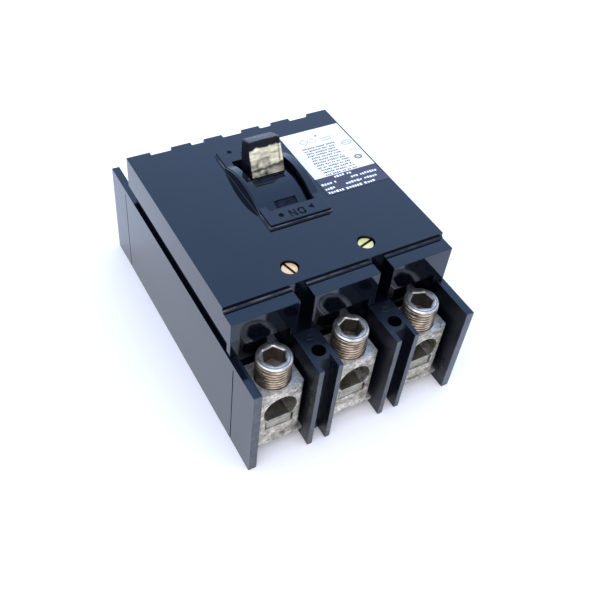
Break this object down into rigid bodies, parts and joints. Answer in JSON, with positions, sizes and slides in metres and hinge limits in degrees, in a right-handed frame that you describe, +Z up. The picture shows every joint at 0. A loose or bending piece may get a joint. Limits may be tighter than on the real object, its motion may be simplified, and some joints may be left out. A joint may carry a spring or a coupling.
{
  "type": "molded case circuit breaker",
  "caption": "Black molded case circuit breaker with toggle handle, box lugs with hex socket screws, and barriers between poles.",
  "frame": {"origin": "centre of the base's underside", "axes": "+X across the poles, -Y towards the line terminals (ON end), +Z up towards the handle"},
  "size_m": [0.1142, 0.1642, 0.097],
  "materials": {
    "case_black": "gloss black moulding",
    "handle_black": "satin black moulding",
    "label_film": "satin film",
    "lug_aluminium": "tumbled satin",
    "lug_screw_steel": "plated, worn",
    "brass_screw": "satin",
    "copper": "bare copper",
    "tinned_copper": "tin plated copper",
    "silver_contact": "satin",
    "plated_steel": "zinc plated",
    "chute_fibre": "fibre board",
    "bar_phenolic": "moulded phenolic"
  },
  "bodies": {
    "case": {"base": "case_black", "cover": "case_black", "cover_screw_left": "brass_screw", "cover_screw_right": "brass_screw", "rating_label": "label_film", "line_lug_1": "lug_aluminium", "line_strap_1": "tinned_copper", "line_lug_2": "lug_aluminium", "line_strap_2": "tinned_copper", "line_lug_3": "lug_aluminium", "line_strap_3": "tinned_copper", "load_lug_1": "lug_aluminium", "load_strap_1": "tinned_copper", "load_lug_2": "lug_aluminium", "load_strap_2": "tinned_copper", "load_lug_3": "lug_aluminium", "load_strap_3": "tinned_copper", "fixed_contact_1": "silver_contact", "arc_chute_1": "chute_fibre", "bimetal_1": "plated_steel", "magnet_yoke_1": "plated_steel", "braid_1": "copper", "fixed_contact_2": "silver_contact", "arc_chute_2": "chute_fibre", "bimetal_2": "plated_steel", "magnet_yoke_2": "plated_steel", "braid_2": "copper", "fixed_contact_3": "silver_contact", "arc_chute_3": "chute_fibre", "bimetal_3": "plated_steel", "magnet_yoke_3": "plated_steel", "braid_3": "copper", "handle_pin_left": "plated_steel", "handle_pin_right": "plated_steel", "mechanism_frame": "plated_steel"},
    "handle_unit": {"handle": "handle_black", "handle_shield": "handle_black", "handle_yoke": "plated_steel", "main_spring_left": "plated_steel", "main_spring_right": "plated_steel"},
    "crossbar_unit": {"crossbar": "bar_phenolic", "contact_arm_1": "copper", "moving_contact_1": "silver_contact", "contact_arm_2": "copper", "moving_contact_2": "silver_contact", "contact_arm_3": "copper", "moving_contact_3": "silver_contact"},
    "cradle_unit": {"cradle": "plated_steel"},
    "upper_link_unit": {"upper_link": "plated_steel"},
    "lower_link_unit": {"lower_link": "plated_steel"},
    "trip_bar_unit": {"trip_bar": "bar_phenolic"},
    "line_lug_screw_1": {"line_lug_screw_1": "lug_screw_steel"},
    "line_lug_screw_2": {"line_lug_screw_2": "lug_screw_steel"},
    "line_lug_screw_3": {"line_lug_screw_3": "lug_screw_steel"},
    "load_lug_screw_1": {"load_lug_screw_1": "lug_screw_steel"},
    "load_lug_screw_2": {"load_lug_screw_2": "lug_screw_steel"},
    "load_lug_screw_3": {"load_lug_screw_3": "lug_screw_steel"}
  },
  "joints": [
    {"name": "handle_swing", "type": "hinge", "parent": "case", "child": "handle_unit", "pos_m": [0, 0.01325, 0.048], "axis": [1, 0, 0], "range_deg": [-4, 36], "deforming": ["main_spring_left", "main_spring_right"]},
    {"name": "crossbar_turn", "type": "hinge", "parent": "case", "child": "crossbar_unit", "pos_m": [0, 0.01, 0.0222], "axis": [1, 0, 0], "range_deg": [-3.4, 29], "deforming": ["braid_1", "braid_2", "braid_3"]},
    {"name": "cradle_turn", "type": "hinge", "parent": "case", "child": "cradle_unit", "pos_m": [0, -0.008, 0.052], "axis": [1, 0, 0], "range_deg": [0, 8]},
    {"name": "upper_link_turn", "type": "hinge", "parent": "cradle_unit", "child": "upper_link_unit", "pos_m": [0, 0.003, 0.054], "axis": [1, 0, 0], "range_deg": [-33.5, 4.5]},
    {"name": "lower_link_turn", "type": "hinge", "parent": "upper_link_unit", "child": "lower_link_unit", "pos_m": [0, 0.0108, 0.0436], "axis": [1, 0, 0], "range_deg": [-6, 47.5]},
    {"name": "trip_bar_turn", "type": "hinge", "parent": "case", "child": "trip_bar_unit", "pos_m": [0, 0.034, 0.044], "axis": [1, 0, 0], "range_deg": [-12, 0], "stiffness_Nm_per_rad": 0.03, "springref_deg": 8.59},
    {"name": "line_lug_screw_1_travel", "type": "slide", "parent": "case", "child": "line_lug_screw_1", "axis": [0, 0, 1], "range_m": [-0.0135, 0]},
    {"name": "line_lug_screw_2_travel", "type": "slide", "parent": "case", "child": "line_lug_screw_2", "axis": [0, 0, 1], "range_m": [-0.0135, 0]},
    {"name": "line_lug_screw_3_travel", "type": "slide", "parent": "case", "child": "line_lug_screw_3", "axis": [0, 0, 1], "range_m": [-0.0135, 0]},
    {"name": "load_lug_screw_1_travel", "type": "slide", "parent": "case", "child": "load_lug_screw_1", "axis": [0, 0, 1], "range_m": [-0.0135, 0]},
    {"name": "load_lug_screw_2_travel", "type": "slide", "parent": "case", "child": "load_lug_screw_2", "axis": [0, 0, 1], "range_m": [-0.0135, 0]},
    {"name": "load_lug_screw_3_travel", "type": "slide", "parent": "case", "child": "load_lug_screw_3", "axis": [0, 0, 1], "range_m": [-0.0135, 0]}
  ],
  "couplings": [
    {"joint": "crossbar_turn", "follows": "handle_swing", "ratio": 0.8},
    {"joint": "upper_link_turn", "follows": "handle_swing", "ratio": -0.904},
    {"joint": "lower_link_turn", "follows": "handle_swing", "ratio": 1.298}
  ]
}
